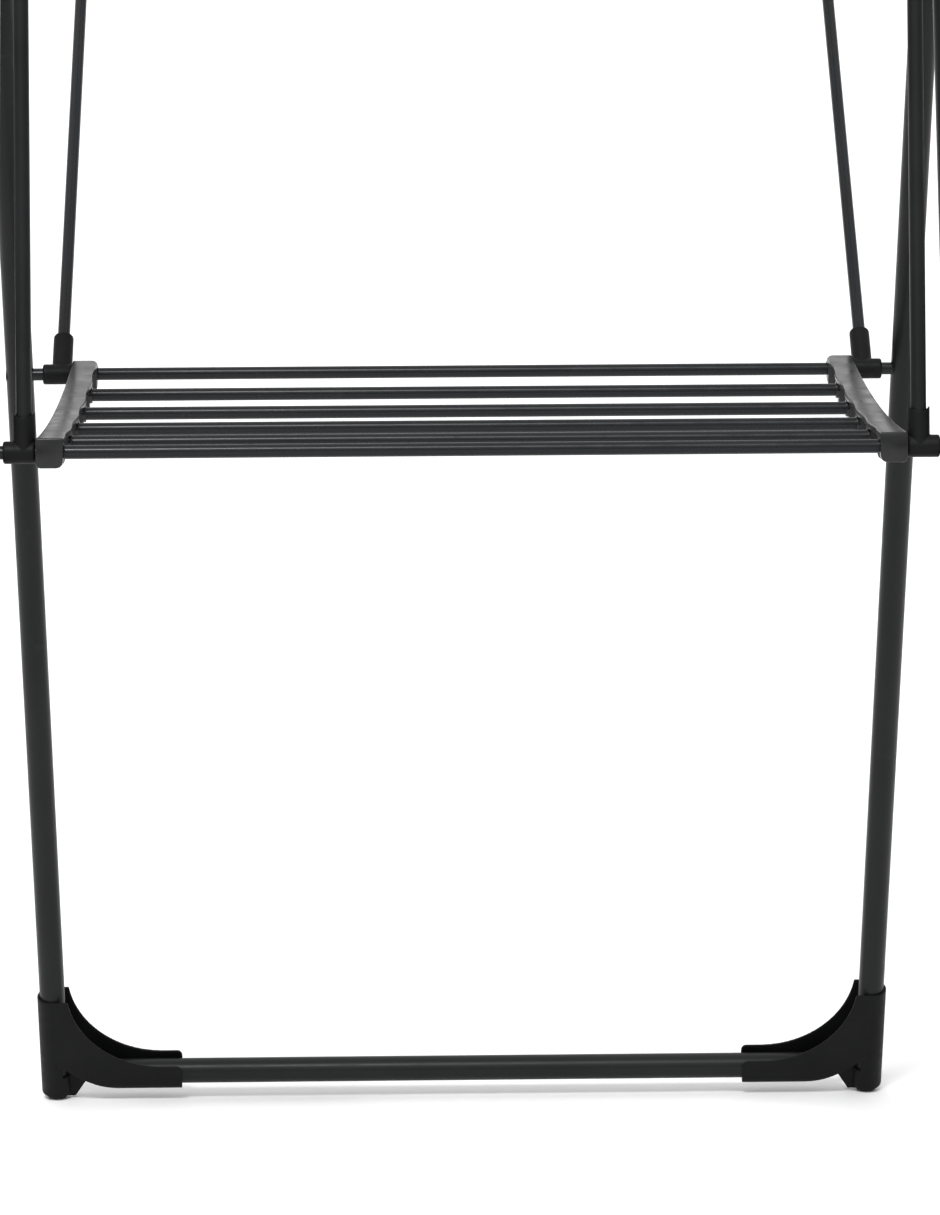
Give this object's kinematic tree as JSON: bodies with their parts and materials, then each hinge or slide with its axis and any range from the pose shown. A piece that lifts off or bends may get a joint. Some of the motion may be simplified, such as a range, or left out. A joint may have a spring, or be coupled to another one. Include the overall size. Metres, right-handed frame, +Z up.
{
  "type": "folding drying rack",
  "caption": "Floor-standing folding clothes drying rack: hinged tube frames, hollow rod shelf, propped wing and hanging rail.",
  "frame": {"origin": "on the floor, at the middle of the opened rack's overall box, wing included", "axes": "+Z up, +X to the right across the rack seen from its front, -Y towards the front"},
  "size_m": [0.7494, 1.1462, 1.6865],
  "materials": {
    "tube_paint": "satin charcoal powder coat",
    "rod_paint": "satin black powder coat",
    "moulded_plastic": "matte moulded black",
    "strip_plastic": "fine textured dark grey",
    "foot_rubber": "matte rubber",
    "fastener_steel": "blackened steel"
  },
  "bodies": {
    "rear_frame": {"apex_pins": "fastener_steel", "rear_axle": "rod_paint", "rear_base_tube": "tube_paint", "rear_bracket_screws": "fastener_steel", "rear_foot_bracket_left": "moulded_plastic", "rear_foot_bracket_right": "moulded_plastic", "rear_foot_pad_left": "foot_rubber", "rear_foot_pad_right": "foot_rubber", "rear_hinge_housing_left": "moulded_plastic", "rear_hinge_housing_right": "moulded_plastic", "rear_leg_left": "tube_paint", "rear_leg_right": "tube_paint", "rear_top_tube": "tube_paint", "wing_hinge_bracket_left": "moulded_plastic", "wing_hinge_bracket_right": "moulded_plastic"},
    "front_frame": {"front_axle": "rod_paint", "front_base_tube": "tube_paint", "front_bracket_screws": "fastener_steel", "front_foot_bracket_left": "moulded_plastic", "front_foot_bracket_right": "moulded_plastic", "front_foot_pad_left": "foot_rubber", "front_foot_pad_right": "foot_rubber", "front_hinge_housing_left": "moulded_plastic", "front_hinge_housing_right": "moulded_plastic", "front_leg_left": "tube_paint", "front_leg_right": "tube_paint", "front_top_tube": "tube_paint", "post_clip_left": "moulded_plastic", "post_clip_right": "moulded_plastic"},
    "shelf": {"shelf_end_left": "strip_plastic", "shelf_end_right": "strip_plastic", "shelf_rod_2": "rod_paint", "shelf_rod_3": "rod_paint", "shelf_rod_4": "rod_paint", "shelf_rod_5": "rod_paint"},
    "rail_frame": {"hanging_rail": "tube_paint", "rail_elbow_left": "moulded_plastic", "rail_elbow_right": "moulded_plastic", "rail_post_left": "tube_paint", "rail_post_right": "tube_paint", "rail_tee_left": "moulded_plastic", "rail_tee_right": "moulded_plastic"},
    "wing": {"wing_corner_left": "moulded_plastic", "wing_corner_right": "moulded_plastic", "wing_end_bar": "tube_paint", "wing_knuckle_left": "moulded_plastic", "wing_knuckle_right": "moulded_plastic", "wing_rod_1": "rod_paint", "wing_rod_2": "rod_paint", "wing_rod_3": "rod_paint", "wing_rod_4": "rod_paint", "wing_rod_5": "rod_paint", "wing_side_left": "tube_paint", "wing_side_right": "tube_paint"},
    "props": {"prop_left": "rod_paint", "prop_right": "rod_paint", "prop_tee_left": "moulded_plastic", "prop_tee_right": "moulded_plastic"}
  },
  "joints": [
    {"name": "frame_fold", "type": "hinge", "parent": "rear_frame", "child": "front_frame", "pos_m": [0, -0.10905, 1.20202], "axis": [1, 0, 0], "range_deg": [0, 40]},
    {"name": "shelf_swing", "type": "hinge", "parent": "rear_frame", "child": "shelf", "pos_m": [0, 0.09888, 0.6775], "axis": [-1, 0, 0], "range_deg": [0, 70]},
    {"name": "wing_fold", "type": "hinge", "parent": "rear_frame", "child": "wing", "pos_m": [0, -0.01503, 1.06065], "axis": [1, 0, 0], "range_deg": [0, 110]},
    {"name": "prop_swing", "type": "hinge", "parent": "rear_frame", "child": "props", "pos_m": [0, 0.09888, 0.6775], "axis": [1, 0, 0], "range_deg": [0, 66]},
    {"name": "rail_tilt", "type": "hinge", "parent": "front_frame", "child": "rail_frame", "pos_m": [0, -0.31698, 0.6775], "axis": [1, 0, 0], "range_deg": [0, 45]}
  ],
  "couplings": [
    {"joint": "shelf_swing", "follows": "frame_fold", "ratio": 1.75},
    {"joint": "prop_swing", "follows": "wing_fold", "ratio": 0.59}
  ]
}
